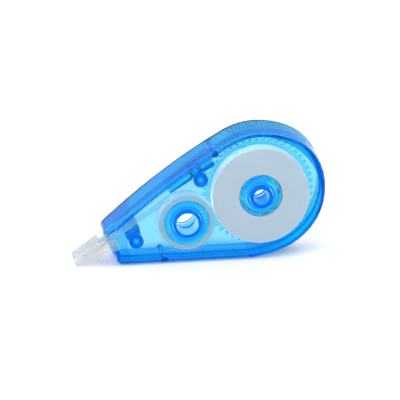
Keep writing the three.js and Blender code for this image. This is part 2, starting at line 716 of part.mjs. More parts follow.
// A flat strip along a line of points in X and Z
function strip(line, thickness = TAPE_THICKNESS, near = rollNearY, far = rollFarY) {
  const left = [];
  const right = [];
  line.forEach((p, k) => {
    const before = line[Math.max(0, k - 1)];
    const after = line[Math.min(line.length - 1, k + 1)];
    const along = after.clone().sub(before).normalize();
    const side = new THREE.Vector2(-along.y, along.x).multiplyScalar(thickness / 2);
    left.push(p.clone().add(side));
    right.push(p.clone().sub(side));
  });
  return slab([...right, ...left.reverse()], near, far);
}

const bladeTop = tipPoint(BLADE_REACH, BLADE_EDGE / 2 - BLADE_DROP);
const bladeBottom = tipPoint(BLADE_REACH, -BLADE_EDGE / 2 - BLADE_DROP);
const tapeLift = SEAT_GAP + TAPE_THICKNESS / 2;
const guideTopStart = guideLine.start.clone().addScaledVector(guideLine.inward, -tapeLift);
const guideTopEnd = guideLine.end.clone().addScaledVector(guideLine.inward, -tapeLift);
const bladeTapeStart = bladeTop.clone().addScaledVector(tipUp, tapeLift);
const bladeTapeEnd = bladeBottom.clone().addScaledVector(tipUp, -tapeLift);
const bladeFront = tipPoint(BLADE_REACH + tapeLift, -BLADE_DROP);
const strandLift = STRAND_GAP + TAPE_THICKNESS / 2;
const tapeLeave = tangentTo(supply, ROLL_RADIUS + strandLift, guideTopStart, 1);
const linerArrive = tangentTo(takeUp, linerRollRadius + strandLift, bladeTapeEnd, 1);

function tapeLine() {
  const overEdge = bladeFront.clone().addScaledVector(tipUp, 0.12);
  return [tapeLeave.point, guideTopStart, guideTopEnd, bladeTapeStart, overEdge];
}

function tapeStrand() {
  return strip(tapeLine());
}

// The gap that the seam's lip leaves for the tape
function tapeRoom() {
  const inner = LIP_CLEARANCE + LIP_THICKNESS;
  const room = TAPE_THICKNESS + 3 * SEAT_GAP + inner;
  const line = tapeLine().slice(0, 4).map((p) => (
    p.clone().addScaledVector(guideLine.inward, inner / 2)));
  return strip(line, room, rollNearY - SEAT_GAP, rollFarY + SEAT_GAP);
}

function linerStrand() {
  const overEdge = bladeFront.clone().addScaledVector(tipUp, -0.25);
  return strip([overEdge, bladeTapeEnd, linerArrive.point]);
}

function takeUpGear() {
  const phase = TRAIN_ANGLE + Math.PI + Math.PI / TAKE_UP_TEETH;
  const bore = disc(takeUp, takeUpAxle.sleeveInner, gearNearY - 1, gearFarY + 1, ROUND_STEPS);
  const wheel = slab(gearOutline(takeUp, TAKE_UP_TEETH, phase), gearNearY, gearFarY);
  const neck = rootRadius(TAKE_UP_TEETH) - 0.3;
  const collarEnd = innerRearY - END_FLOAT;
  const hub = turned(takeUp, [
    [takeUpAxle.sleeveInner, discNearY], [takeUpHub, discNearY], [takeUpHub, flangeNearY],
    [takeUpRearRadius, flangeNearY], [takeUpRearRadius, flangeFarY],
    [neck, flangeFarY], [neck, collarEnd], [takeUpAxle.sleeveInner, collarEnd],
  ]);
  return join(cut(wheel, bore), hub);
}

function takeUpFlange() {
  const rim = [];
  const steps = TAKE_UP_FLANGE_TEETH * 2;
  for (let k = 0; k < steps; k++) {
    const radius = takeUpFlangeRadius - (k % 2) * TAKE_UP_TOOTH_DEPTH;
    rim.push(polar(takeUp, radius, (k * 2 * Math.PI) / steps));
  }
  const bore = disc(takeUp, takeUpHub + SEAT_GAP, discNearY - 1, discFarY + 1, ROUND_STEPS);
  return cut(slab(rim, discNearY, discFarY), bore);
}

// Applicator head: two side flanges joined by a thin blade that the tape turns round
function applicatorHead() {
  const inner = TAPE_WIDTH / 2 + FLANGE_CLEARANCE;
  const topSlope = (FLANGE_TOP - BLADE_EDGE) / BLADE_REACH;
  const bottomSlope = (FLANGE_BOTTOM + BLADE_EDGE) / BLADE_REACH;
  const rootTop = FLANGE_TOP - 0.5;
  const side = [
    tipPoint(-HEAD_ROOT, FLANGE_BOTTOM), tipPoint(0, FLANGE_BOTTOM),
    tipPoint(FLANGE_REACH, FLANGE_BOTTOM - bottomSlope * FLANGE_REACH),
    tipPoint(FLANGE_REACH, FLANGE_TOP - topSlope * FLANGE_REACH),
    tipPoint(0, FLANGE_TOP), tipPoint(-CAP_GAP, FLANGE_TOP), tipPoint(-HEAD_ROOT, rootTop),
  ].reverse();
  const flanges = [-1, 1].map((hand) => {
    const a = tapeY + hand * (inner - 0.05);
    const b = tapeY + hand * headHalfWidth;
    return slab(side, Math.min(a, b), Math.max(a, b));
  });
  const backS = -HEAD_ROOT + 1.5;
  const tapeAngle = guideTopEnd.clone().sub(bladeTapeStart).angle() - TIP_TILT;
  const linerAngle = linerArrive.point.clone().sub(bladeTapeEnd).angle() - TIP_TILT;
  const run = BLADE_REACH - backS;
  const upper = BLADE_EDGE / 2 - BLADE_DROP + run * Math.tan(tapeAngle) - 0.15;
  const lower = -BLADE_EDGE / 2 - BLADE_DROP + run * Math.tan(linerAngle) + 0.35;
  const blade = [
    bladeTop, bladeBottom, tipPoint(backS, lower), tipPoint(backS, upper),
  ];
  const plate = slab(blade, tapeY - inner, tapeY + inner);
  const narrow = tapeY + TAPE_WIDTH / 2 + 0.1;
  const trim = [narrow, tapeY - TAPE_WIDTH / 2 - 0.1].map((edge, k) => slab(
    [tipPoint(BLADE_REACH + 1, -3), tipPoint(BLADE_REACH + 1, 3),
      tipPoint(FLANGE_REACH, 3), tipPoint(FLANGE_REACH, -3)],
    k === 0 ? edge : edge - 2, k === 0 ? edge + 2 : edge));
  return join(cut(plate, ...trim), ...flanges);
}

// Cap: a clear tapered box, open at the nose end
function boxSection(s, height, width) {
  const points = [];
  const centres = [[1, 1], [-1, 1], [-1, -1], [1, -1]];
  centres.forEach(([u, v], k) => {
    for (let step = 0; step <= 2; step++) {
      const angle = (k * Math.PI) / 2 + (step * Math.PI) / 4;
      const across = u * (width / 2 - CAP_CORNER) + CAP_CORNER * Math.cos(angle);
      const up = v * (height / 2 - CAP_CORNER) + CAP_CORNER * Math.sin(angle);
      const p = tipPoint(s, up);
      points.push(new THREE.Vector3(p.x, tapeY + across, p.y));
    }
  });
  return points;
}

function tipCap() {
  const shrink = 2 * CAP_WALL;
  const slopeH = (CAP_MOUTH_HEIGHT - CAP_END_HEIGHT) / capLength;
  const slopeW = (CAP_MOUTH_WIDTH - CAP_END_WIDTH) / capLength;
  const outer = loft([
    boxSection(0, CAP_MOUTH_HEIGHT, CAP_MOUTH_WIDTH),
    boxSection(capLength, CAP_END_HEIGHT, CAP_END_WIDTH),
  ]);
  const hollowEnd = capLength - CAP_WALL;
  const inner = loft([
    boxSection(-1, CAP_MOUTH_HEIGHT + slopeH - shrink, CAP_MOUTH_WIDTH + slopeW - shrink),
    boxSection(hollowEnd, CAP_END_HEIGHT + slopeH * CAP_WALL - shrink,
      CAP_END_WIDTH + slopeW * CAP_WALL - shrink),
  ]);
  return cut(outer, inner);
}

// Assembly
const assembly = new THREE.Group();

function add(name, piece, material) {
  const { vertProperties, triVerts } = piece.getMesh();
  const geometry = new THREE.BufferGeometry();
  geometry.setAttribute('position', new THREE.BufferAttribute(vertProperties, 3));
  geometry.setIndex(new THREE.BufferAttribute(triVerts, 1));
  geometry.computeVertexNormals();
  const mesh = new THREE.Mesh(geometry, material);
  mesh.name = name;
  assembly.add(mesh);
}

add('front_cover', frontCover(), shellPlastic);
add('rear_cover', rearCover(), shellPlastic);
add('supply_gear', supplyGear(), gearPlastic);
add('supply_spool', supplySpool(), gearPlastic);
add('friction_washer', frictionWasher(), rubber);
add('spool_clip', spoolClip(), whitePlastic);
add('tape_roll', woundCore(supply, spoolOuter + SEAT_GAP, ROLL_RADIUS), tapeWhite);
add('tape_outer_turn', outerTurn(supply, ROLL_RADIUS, tapeLeave.angle, -1), tapeWhite);
add('tape_strand', tapeStrand(), tapeWhite);
add('liner_strand', linerStrand(), linerPaper);
add('take_up_gear', takeUpGear(), gearPlastic);
add('take_up_flange', takeUpFlange(), clearPlastic);
add('liner_roll', woundCore(takeUp, takeUpHub + SEAT_GAP, linerRollRadius), linerPaper);
add('liner_outer_turn', outerTurn(takeUp, linerRollRadius, linerArrive.angle, -1), linerPaper);
add('applicator_head', applicatorHead(), clearPlastic);
add('tip_cap', tipCap(), clearPlastic);

// The origin is at the middle of the footprint, on the surface that the case stands on
const extent = new THREE.Box3().setFromObject(assembly);
assembly.position.x = -(extent.min.x + extent.max.x) / 2;
console.log(`supply axis x ${(supply.x + assembly.position.x).toFixed(3)} z ${supply.y.toFixed(3)}`);
console.log(`take-up axis x ${(takeUp.x + assembly.position.x).toFixed(3)} z ${takeUp.y.toFixed(3)}`);

export default assembly;
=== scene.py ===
# Correction tape: clear blue case over geared reels, on a pale floor
import json
import math

import bpy
from mathutils import Matrix, Vector


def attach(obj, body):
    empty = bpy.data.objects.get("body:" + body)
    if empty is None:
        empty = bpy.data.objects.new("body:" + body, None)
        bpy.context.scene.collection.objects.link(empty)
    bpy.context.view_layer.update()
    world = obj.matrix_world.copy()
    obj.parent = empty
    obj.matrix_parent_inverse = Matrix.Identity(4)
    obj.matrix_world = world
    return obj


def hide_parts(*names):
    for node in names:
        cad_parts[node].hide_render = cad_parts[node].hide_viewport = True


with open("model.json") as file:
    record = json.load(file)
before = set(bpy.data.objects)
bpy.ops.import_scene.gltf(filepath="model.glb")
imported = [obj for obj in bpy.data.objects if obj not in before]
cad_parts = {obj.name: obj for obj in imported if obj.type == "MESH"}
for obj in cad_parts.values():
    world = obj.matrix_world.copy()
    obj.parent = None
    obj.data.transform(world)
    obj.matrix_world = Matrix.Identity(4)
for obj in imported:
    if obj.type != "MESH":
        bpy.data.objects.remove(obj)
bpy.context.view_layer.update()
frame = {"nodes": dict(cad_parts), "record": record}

MM = 0.001
WHITE = (1.0, 1.0, 1.0)
SQUARE_TO_Y = (1.0, 0.0, 1.0)

# Camera
CAMERA_AZIMUTH = math.radians(-7.6)
CAMERA_ELEVATION = math.radians(17.5)
CAMERA_ROLL = math.radians(0.7)
CAMERA_DISTANCE = 1.5
CAMERA_REACH = 20.0
CAMERA_TARGET = Vector((1.03 * MM, 0.0, 18.2 * MM))
VIEW_WIDTH = 127.0 * MM
SENSOR_WIDTH = 36.0

# Light
WORLD_LEVEL = 1.16
SEEN_LEVEL = 1.0
REFLECTED_SKY = (0.45, 0.75, 1.0)
REFLECTED_LEVEL = 1.12
KEY_POWER = 4.2
KEY_SIZE = 0.9
KEY_PLACE = Vector((-0.6, -0.5, 0.9))
BACK_POWER = 0.8
BACK_SIZE = 0.6
BACK_PLACE = Vector((0.35, 0.5, 0.6))
BOUNCES = 24
GLOSSY_BOUNCES = 8
TRANSPARENT_BOUNCES = 16

# Floor
FLOOR_SIZE = 6.0
FLOOR_COLOR = (0.99, 0.99, 0.99)
FLOOR_ROUGHNESS = 0.6
FLOOR_SPECULAR = 0.1
# Painted shadow under the case, on the floor seen through the plastic
SHADE_REACH = (46.0 * MM, 18.0 * MM, 1.0)
SHADE_START = 0.5
SHADE_COLOR = (0.25, 0.5, 0.92)

# Plastic
PLASTIC_IOR = 1.49
GEAR_IOR = 1.25
FILM_IOR = 1.15
THIN_IOR = 1.04
TIP_IOR = 1.38
FRONT_ABSORB = (0.45, 0.82, 0.98)
FRONT_DENSITY = 150.0
REAR_ABSORB = (0.0, 0.8, 0.975)
REAR_DENSITY = 750.0
GEAR_ABSORB = (0.0, 0.8, 0.975)
GEAR_DENSITY = 140.0
SHADOW_TINT = (0.98, 0.99, 1.0)
BLUE_SHEEN = (0.02, 0.6, 1.0)
NEUTRAL_SHEEN = (1.0, 0.6, 0.42)
SIDE_END = 0.35
FACE_START = 0.95

# Grain of the surfaces, where a scale or a grain is noise cells to the metre
NOISE_LOW = 0.3
NOISE_HIGH = 0.7
NOISE_DETAIL = 3.0
CLOUD_SCALE = 220.0
CLOUD_AMOUNT = 0.16
FINISH_SCALE = 180.0
SWELL_SCALE = 60.0
SWELL_DETAIL = 1.0
SWELL_STRENGTH = 0.05
SWELL_HEIGHT = 0.2 * MM
FILM_GRAIN = 120.0
FILM_BUMP = 0.1
RUBBER_GRAIN = 200.0
RUBBER_BUMP = 0.3
FINE_RATIO = 6.0
FINE_HEIGHT = 0.05 * MM

# Painted light: glow on the wound film and paper, on their faces that look away from the reel's axis
FILM_GLOW = (1.0, 0.95, 1.0)
TAPE_GLOW_LEVEL = 0.36
TURN_GLOW_LEVEL = 0.31
LINER_GLOW_LEVEL = 0.2
GLOW_REACH = 8.0 * MM

# Posts, their sockets and the cores of their pins
POST_PLACES = ((0.4 * MM, 0.0, 27.0 * MM), (-20.4 * MM, 0.0, 7.8 * MM))
SOCKET_REACH = 2.35 * MM
SOCKET_COLOR = (0.2, 0.6, 0.95)
# Painted light: the pins' cores are pale, white on the front shell, and glow
PIN_CORE_RADIUS = 1.0 * MM
PIN_CORE_COLOR = (0.8, 1.0, 1.0)
PIN_GLOW_LEVEL = 0.24
PAINTED_LIGHT_COLOR = (0.05, 0.38, 0.7)

# Axle tubes, the bosses in them and the bores through both
TUBE_RADII = {"supply_spin": 4.9 * MM, "take_up_spin": 5.8 * MM}
# Painted light: the tubes are paler and glow
TUBE_COLOR = (0.8, 0.93, 1.0)
TUBE_GLOW_LEVEL = 0.22
BOSS_RADII = {"supply_spin": 3.6 * MM, "take_up_spin": 4.55 * MM}
BOSS_COLOR = (0.0, 0.22, 0.84)
BORES = {
    "supply_spin": (2.7 * MM, (0.0, 0.4, 0.85)),
    "take_up_spin": (3.65 * MM, (0.42, 0.85, 1.0)),
}
BORE_IOR = 1.15

# Short ribs across the rim
RIB_PLACES = ((4.9 * MM, 0.0, 35.4 * MM), (-11.2 * MM, 0.0, 0.9 * MM))
RIB_REACH = 1.1 * MM
RIB_COLOR = (0.03, 0.3, 0.82)

# Rear shell's nose and back edge
NOSE_START = -20.8 * MM
NOSE_FADE = 1.0 * MM
NOSE_TINT = (0.3, 0.7, 0.96)
EDGE_START = 6.6 * MM
EDGE_FADE = 0.6 * MM
EDGE_STRENGTH = 0.9
EDGE_FACE = 0.97
EDGE_WALL = 0.9
EDGE_COLOR = (0.3, 0.3, 0.75)

# Case's lower edge, and its shoulder over the large reel
# Painted shade darkens the case's lower edge
BASE_RISE = 1.6 * MM
BASE_SHADE_STRENGTH = 1.2
BASE_SHADE_COLOR = (0.02, 0.42, 0.9)
SHOULDER_RADIUS = 19.4 * MM
SHOULDER_FADE = 0.4 * MM
SHOULDER_ANGLE = math.radians(36.0)
SHOULDER_SPAN = math.radians(52.0)
SHOULDER_STRENGTH = 2.2
SHOULDER_COLOR = (0.05, 0.5, 0.93)

# Grip ridges and moulding lines on the outer wall
GRIP_RADIUS = 20.6 * MM
GRIP_FADE = 0.3 * MM
GRIP_ANGLE = math.radians(66.0)
GRIP_SPAN = math.radians(60.0)
GRIP_STRENGTH = 3.0
GRIP_ROUGHNESS = 0.3
GRIP_SHARE = 0.85
GRIP_COLOR = (0.6, 1.0, 1.0)
MOULDING_DEPTHS = (-0.9 * MM, 1.6 * MM, 4.6 * MM)
MOULDING_HALF_WIDTH = 0.4 * MM
MOULDING_COLOR = (0.02, 0.2, 0.75)

# Meshes
SMOOTH_ANGLE = math.radians(12.0)
WOUND_ROLLS = {"tape_roll": "tape_outer_turn", "liner_roll": "liner_outer_turn"}
TURN_GAP = 0.02 * MM
OUTER_WALL_SHARE = 0.97


# Bodies and axes in the record
def axis_where(key, value):
    """Place of the turning joint that has this value under this key."""
    for joint in frame["record"]["behaviour"]["joints"]:
        if joint[key] == value:
            return joint["pos_m"]
    raise KeyError(value)


def body_of_node(node):
    for body, members in frame["record"]["behaviour"]["bodies"].items():
        if node in members:
            return body
    raise KeyError(node)


SUPPLY_AXIS = axis_where("name", "supply_spin")
TAKE_UP_AXIS = axis_where("name", "take_up_spin")


# Node helpers, where the owner is a material or the world
def rgba(color):
    return (*color, 1.0)


def new_node(owner, kind):
    return owner.node_tree.nodes.new(kind)


def feed(owner, socket, value):
    """Link another node's output to a socket, or set the socket to a plain value."""
    if isinstance(value, bpy.types.NodeSocket):
        owner.node_tree.links.new(value, socket)
    else:
        socket.default_value = value


def new_material(name):
    material = bpy.data.materials.new(name)
    material.use_nodes = True
    material.node_tree.nodes.clear()
    output = new_node(material, "ShaderNodeOutputMaterial")
    shader = new_node(material, "ShaderNodeBsdfPrincipled")
    feed(material, output.inputs["Surface"], shader.outputs["BSDF"])
    return material, shader, output


def operation_node(owner, kind, operation, values):
    node = new_node(owner, kind)
    node.operation = operation
    for socket, value in zip(node.inputs, values):
        feed(owner, socket, value)
    return node


def math_node(owner, operation, *values):
    """Result of an operation on numbers, held between 0 and 1."""
    node = operation_node(owner, "ShaderNodeMath", operation, values)
    node.use_clamp = True
    return node.outputs["Value"]


def vector_of(material, operation, *values):
    """Result of an operation on vectors that gives a vector."""
    return operation_node(material, "ShaderNodeVectorMath", operation, values).outputs["Vector"]


def number_of(material, operation, *values):
    """Result of an operation on vectors that gives a number."""
    return operation_node(material, "ShaderNodeVectorMath", operation, values).outputs["Value"]


def added(material, shares):
    """Sum of one share or more, no higher than 1."""
    total = shares[0]
    for share in shares[1:]:
        total = math_node(material, "ADD", total, share)
    return total


def mapped(material, value, low, high, start=0.0, end=1.0):
    """Start up to where a value is at low, end from where it is at high, in proportion between."""
    mapping = new_node(material, "ShaderNodeMapRange")
    mapping.inputs["From Min"].default_value = low
    mapping.inputs["From Max"].default_value = high
    mapping.inputs["To Min"].default_value = start
    mapping.inputs["To Max"].default_value = end
    feed(material, mapping.inputs["Value"], value)
    return mapping.outputs["Result"]


def color_ramp(material, value, low, first, high, last):
    """First colour up to where a value is at low, last colour from where it is at high."""
    ramp = new_node(material, "ShaderNodeValToRGB")
    lower, upper = ramp.color_ramp.elements
    lower.position = low
    lower.color = rgba(first)
    upper.position = high
    upper.color = rgba(last)
    feed(material, ramp.inputs["Fac"], value)
    return ramp.outputs["Color"]


def mixed(material, amount, color, other, blend="MIX"):
    mix = new_node(material, "ShaderNodeMix")
    mix.data_type = "RGBA"
    mix.blend_type = blend
    feed(material, mix.inputs["Factor"], amount)
    feed(material, mix.inputs["A"], color)
    mix.inputs["B"].default_value = rgba(other)
    return mix.outputs["Result"]


def mixed_shaders(owner, share, first, second):
    mix = new_node(owner, "ShaderNodeMixShader")
    feed(owner, mix.inputs["Fac"], share)
    feed(owner, mix.inputs[1], first)
    feed(owner, mix.inputs[2], second)
    return mix.outputs["Shader"]


def object_coordinates(material):
    return new_node(material, "ShaderNodeTexCoord").outputs["Object"]


def surface_normal(material):
    return new_node(material, "ShaderNodeTexCoord").outputs["Normal"]


def noise(material, scale, detail=NOISE_DETAIL):
    texture = new_node(material, "ShaderNodeTexNoise")
    texture.inputs["Scale"].default_value = scale
    texture.inputs["Detail"].default_value = detail
    feed(material, texture.inputs["Vector"], object_coordinates(material))
    return texture.outputs["Fac"]


def add_bump(material, shader, height, strength, distance):
    bump = new_node(material, "ShaderNodeBump")
    bump.inputs["Strength"].default_value = strength
    bump.inputs["Distance"].default_value = distance
    feed(material, bump.inputs["Height"], height)
    feed(material, shader.inputs["Normal"], bump.outputs["Normal"])


# Where on the object a point is
def along(material, vector, axis):
    split = new_node(material, "ShaderNodeSeparateXYZ")
    feed(material, split.inputs["Vector"], vector)
    return split.outputs[axis]


def place_along(material, axis):
    return along(material, object_coordinates(material), axis)


def face_share(material):
    """1 on faces square to the reels' axes, 0 on walls along them."""
    return math_node(material, "ABSOLUTE", along(material, surface_normal(material), "Y"))


def level_offset(material, place):
    """Vector from an axis along Y to the shaded point, square to that axis."""
    offset = vector_of(material, "SUBTRACT", object_coordinates(material), place)
    return vector_of(material, "MULTIPLY", offset, SQUARE_TO_Y)


def near_axis(material, place, radius):
    """1 within a radius of an axis along Y, 0 past it."""
    distance = number_of(material, "LENGTH", level_offset(material, place))
    return math_node(material, "LESS_THAN", distance, radius)


def rim_stretch(material, radius, fade, angle, span, strength):
    """1 on the rim past a radius from the large reel's axis, round one direction from it."""
    level = level_offset(material, SUPPLY_AXIS)
    far = mapped(material, number_of(material, "LENGTH", level), radius - fade, radius)
    direction = (math.cos(angle), 0.0, math.sin(angle))
    facing = number_of(material, "DOT_PRODUCT", vector_of(material, "NORMALIZE", level), direction)
    close = mapped(material, facing, math.cos(span), 1.0, end=strength)
    return math_node(material, "MULTIPLY", far, close)


def grip_stretch(material):
    return rim_stretch(material, GRIP_RADIUS, GRIP_FADE, GRIP_ANGLE, GRIP_SPAN, GRIP_STRENGTH)


# Tints of the rear shell
def moulding_lines(material, color):
    """Thin deeper lines that run round the case's outer wall."""
    across = place_along(material, "Y")
    for depth in MOULDING_DEPTHS:
        near = math_node(material, "COMPARE", across, depth, MOULDING_HALF_WIDTH)
        color = mixed(material, near, color, MOULDING_COLOR)
    return color


def pale_grip(material, color):
    """Paler plastic on the outer wall where the grip ridges are."""
    amount = math_node(material, "MULTIPLY", grip_stretch(material), GRIP_SHARE)
    return mixed(material, amount, color, GRIP_COLOR)


def azure_nose(material, color):
    """Deeper tint on the rear shell behind the tip, where the shell gets narrow."""
    near = mapped(material, place_along(material, "X"), NOSE_START, NOSE_START - NOSE_FADE)
    return mixed(material, near, color, NOSE_TINT, "MULTIPLY")


def violet_edge(material, color):
    """Violet line round the rear shell's back edge, where the plastic is seen end on."""
    depth = place_along(material, "Y")
    back = mapped(material, depth, EDGE_START, EDGE_START + EDGE_FADE, end=EDGE_STRENGTH)
    wall = mapped(material, face_share(material), EDGE_FACE, EDGE_WALL)
    return mixed(material, math_node(material, "MULTIPLY", back, wall), color, EDGE_COLOR, "MULTIPLY")


def lit_tubes(material, color):
    """Painted light: paler plastic on the two axle tubes, and how strongly it glows."""
    tubes = [near_axis(material, axis_where("name", joint), radius)
             for joint, radius in TUBE_RADII.items()]
    near = added(material, tubes)
    glow = math_node(material, "MULTIPLY", near, TUBE_GLOW_LEVEL)
    return mixed(material, near, color, TUBE_COLOR), glow


def lit_pins(material, color):
    """Painted light: pale clear plastic at the cores of the two posts' pins, and how strongly it glows.
    """
    near = added(material, [near_axis(material, place, PIN_CORE_RADIUS) for place in POST_PLACES])
    glow = math_node(material, "MULTIPLY", near, PIN_GLOW_LEVEL)
    return mixed(material, near, color, PIN_CORE_COLOR), glow


# Tints of the front shell
def deep_bosses(material, color):
    """Deeper blue on the two hollow bosses that plug in the tubes."""
    for joint, radius in BOSS_RADII.items():
        near = near_axis(material, axis_where("name", joint), radius)
        color = mixed(material, near, color, BOSS_COLOR)
    return color


def deep_shoulder(material, color):
    """Deeper blue where the rim turns over the large reel, away from the tip."""
    near = rim_stretch(material, SHOULDER_RADIUS, SHOULDER_FADE, SHOULDER_ANGLE, SHOULDER_SPAN,
                       SHOULDER_STRENGTH)
    return mixed(material, near, color, SHOULDER_COLOR)


def shaded_base(material, color):
    """Painted shade: deeper blue along the lower edge that the case stands on."""
    near = mapped(material, place_along(material, "Z"), BASE_RISE, 0.0, end=BASE_SHADE_STRENGTH)
    return mixed(material, near, color, BASE_SHADE_COLOR)


def post_rings(material, color):
    """Deeper blue round the sockets of the two posts, and clear white at their cores as painted light.
    """
    for place in POST_PLACES:
        color = mixed(material, near_axis(material, place, SOCKET_REACH), color, SOCKET_COLOR)
        color = mixed(material, near_axis(material, place, PIN_CORE_RADIUS), color, WHITE)
    return color


# Tints of both shells
def deep_ribs(material, color):
    """Deeper blue on the short ribs across the rim, seen end on through the wall."""
    for place in RIB_PLACES:
        color = mixed(material, near_axis(material, place, RIB_REACH), color, RIB_COLOR)
    return color


def soft_bores(material, shader, color):
    """Azure walls with a weaker reflection in the bores on the reels' axes."""
    walls = []
    for joint, (radius, tint) in BORES.items():
        wall = near_axis(material, axis_where("name", joint), radius)
        color = mixed(material, wall, color, tint)
        walls.append(wall)
    index = mapped(material, added(material, walls), 0.0, 1.0, PLASTIC_IOR, BORE_IOR)
    feed(material, shader.inputs["IOR"], index)
    return color


def rear_tints(material, shader, color):
    for tint in (moulding_lines, pale_grip, azure_nose, violet_edge):
        color = tint(material, color)
    color, tube_glow = lit_tubes(material, color)
    color, pin_glow = lit_pins(material, color)
    # The tubes and the pins' cores glow as painted light
    shader.inputs["Emission Color"].default_value = rgba(PAINTED_LIGHT_COLOR)
    feed(material, shader.inputs["Emission Strength"], added(material, [tube_glow, pin_glow]))
    return soft_bores(material, shader, deep_ribs(material, color))


def front_tints(material, shader, color):
    for tint in (deep_bosses, deep_shoulder, shaded_base, post_rings, deep_ribs):
        color = tint(material, color)
    return soft_bores(material, shader, color)


# Clear plastic
def let_light_in(material, shader, output):
    """Lamps and sky light what is inside through the plastic, as caustics would."""
    path = new_node(material, "ShaderNodeLightPath")
    passing = new_node(material, "ShaderNodeBsdfTransparent")
    passing.inputs["Color"].default_value = rgba(SHADOW_TINT)
    surface = mixed_shaders(material, path.outputs["Is Shadow Ray"], shader.outputs["BSDF"],
                            passing.outputs["BSDF"])
    feed(material, output.inputs["Surface"], surface)


def face_and_side(material, face, side):
    """One colour on faces square to the reels' axes and a deeper one on walls along them."""
    cloud = math_node(material, "MULTIPLY_ADD", noise(material, CLOUD_SCALE), CLOUD_AMOUNT,
                      face_share(material))
    return color_ramp(material, cloud, SIDE_END, side, FACE_START, face)


def frosted_grip(material, roughness):
    """Rougher plastic on the outer wall where the grip ridges are."""
    extra = math_node(material, "MULTIPLY", grip_stretch(material), GRIP_ROUGHNESS)
    return math_node(material, "ADD", roughness, extra)


def soak_up(material, output, color, density):
    """Colour that deepens with the thickness of the plastic."""
    volume = new_node(material, "ShaderNodeVolumeAbsorption")
    volume.inputs["Color"].default_value = rgba(color)
    volume.inputs["Density"].default_value = density
    feed(material, output.inputs["Volume"], volume.outputs["Volume"])


def clear_plastic(name, face, side, roughness, absorb=None, density=0.0, clarity=1.0,
                  sheen=WHITE, ior=PLASTIC_IOR, tints=None, frosted=False):
    material, shader, output = new_material(name)
    let_light_in(material, shader, output)
    shader.inputs["Transmission Weight"].default_value = clarity
    shader.inputs["IOR"].default_value = ior
    shader.inputs["Specular Tint"].default_value = rgba(sheen)
    color = face_and_side(material, face, side)
    if tints:
        color = tints(material, shader, color)
    feed(material, shader.inputs["Base Color"], color)
    finish = mapped(material, noise(material, FINISH_SCALE), NOISE_LOW, NOISE_HIGH, *roughness)
    if frosted:
        finish = frosted_grip(material, finish)
    feed(material, shader.inputs["Roughness"], finish)
    swell = noise(material, SWELL_SCALE, SWELL_DETAIL)
    add_bump(material, shader, swell, SWELL_STRENGTH, SWELL_HEIGHT)
    if absorb:
        soak_up(material, output, absorb, density)
    return material


# Film, paper and rubber
def painted_outward_light(material, shader, strength, axis):
    """Painted light: glow on the wound film and paper, on faces that look away from the reel's axis."""
    outward = number_of(material, "DOT_PRODUCT", level_offset(material, axis), surface_normal(material))
    amount = mapped(material, outward, 0.0, GLOW_REACH, end=strength)
    shader.inputs["Emission Color"].default_value = rgba(FILM_GLOW)
    feed(material, shader.inputs["Emission Strength"], amount)


def opaque(name, dark, light, roughness, grain=FILM_GRAIN, bump=FILM_BUMP, glow=0.0, axis=None):
    material, shader, _ = new_material(name)
    tone = color_ramp(material, noise(material, grain), NOISE_LOW, dark, NOISE_HIGH, light)
    feed(material, shader.inputs["Base Color"], tone)
    fine = noise(material, grain * FINE_RATIO)
    finish = mapped(material, fine, NOISE_LOW, NOISE_HIGH, *roughness)
    feed(material, shader.inputs["Roughness"], finish)
    add_bump(material, shader, fine, bump, FINE_HEIGHT)
    if glow:
        painted_outward_light(material, shader, glow, axis)
    return material


# Materials
FRONT = clear_plastic("front_blue", face=WHITE, side=(0.0, 0.6, 0.98),
                      roughness=(0.01, 0.04), absorb=FRONT_ABSORB, density=FRONT_DENSITY,
                      sheen=BLUE_SHEEN, tints=front_tints)
REAR = clear_plastic("rear_blue", face=(0.74, 0.95, 1.0), side=(0.0, 0.78, 1.0),
                     roughness=(0.01, 0.04), absorb=REAR_ABSORB, density=REAR_DENSITY,
                     sheen=BLUE_SHEEN, tints=rear_tints, frosted=True)
GEAR = clear_plastic("gear_blue", face=(0.66, 0.94, 1.0), side=(0.3, 0.8, 1.0),
                     roughness=(0.06, 0.14), absorb=GEAR_ABSORB, density=GEAR_DENSITY,
                     sheen=BLUE_SHEEN, ior=GEAR_IOR)
CLEAR = clear_plastic("tip_clear", face=(1.0, 0.96, 0.94), side=(1.0, 0.94, 0.92),
                      roughness=(0.22, 0.34), clarity=0.82, sheen=NEUTRAL_SHEEN, ior=TIP_IOR)
FLANGE = clear_plastic("flange_clear", face=(0.8, 0.97, 1.0), side=(0.5, 0.8, 0.98),
                       roughness=(0.04, 0.1), ior=GEAR_IOR)
LINER_STRAND = clear_plastic("strand_film", face=(0.94, 0.99, 1.0), side=(0.85, 0.95, 1.0),
                             roughness=(0.15, 0.25), clarity=0.75, ior=FILM_IOR)
TAPE_STRAND = clear_plastic("tape_strand_film", face=WHITE, side=(0.9, 0.98, 1.0),
                            roughness=(0.02, 0.06), clarity=0.96, ior=THIN_IOR)
WASHER = opaque("washer_rubber", dark=(0.56, 0.7, 0.8), light=(0.62, 0.76, 0.86),
                roughness=(0.7, 0.85), grain=RUBBER_GRAIN, bump=RUBBER_BUMP)
# The tape and liner rolls and their outer turns glow as painted light
TAPE = opaque("tape_white", dark=(0.98, 0.87, 0.85), light=(1.0, 0.91, 0.89),
              roughness=(0.55, 0.7), glow=TAPE_GLOW_LEVEL, axis=SUPPLY_AXIS)
TAPE_TURN = opaque("tape_turn", dark=(0.95, 0.94, 0.93), light=(0.98, 0.98, 0.97),
                   roughness=(0.55, 0.7), glow=TURN_GLOW_LEVEL, axis=SUPPLY_AXIS)
LINER = opaque("liner_paper", dark=(0.99, 0.96, 1.0), light=(1.0, 0.99, 1.0),
               roughness=(0.4, 0.55), glow=LINER_GLOW_LEVEL, axis=TAKE_UP_AXIS)
LINER_TURN = opaque("liner_turn", dark=(0.88, 0.95, 0.98), light=(0.92, 0.98, 1.0),
                    roughness=(0.4, 0.55), glow=LINER_GLOW_LEVEL, axis=TAKE_UP_AXIS)

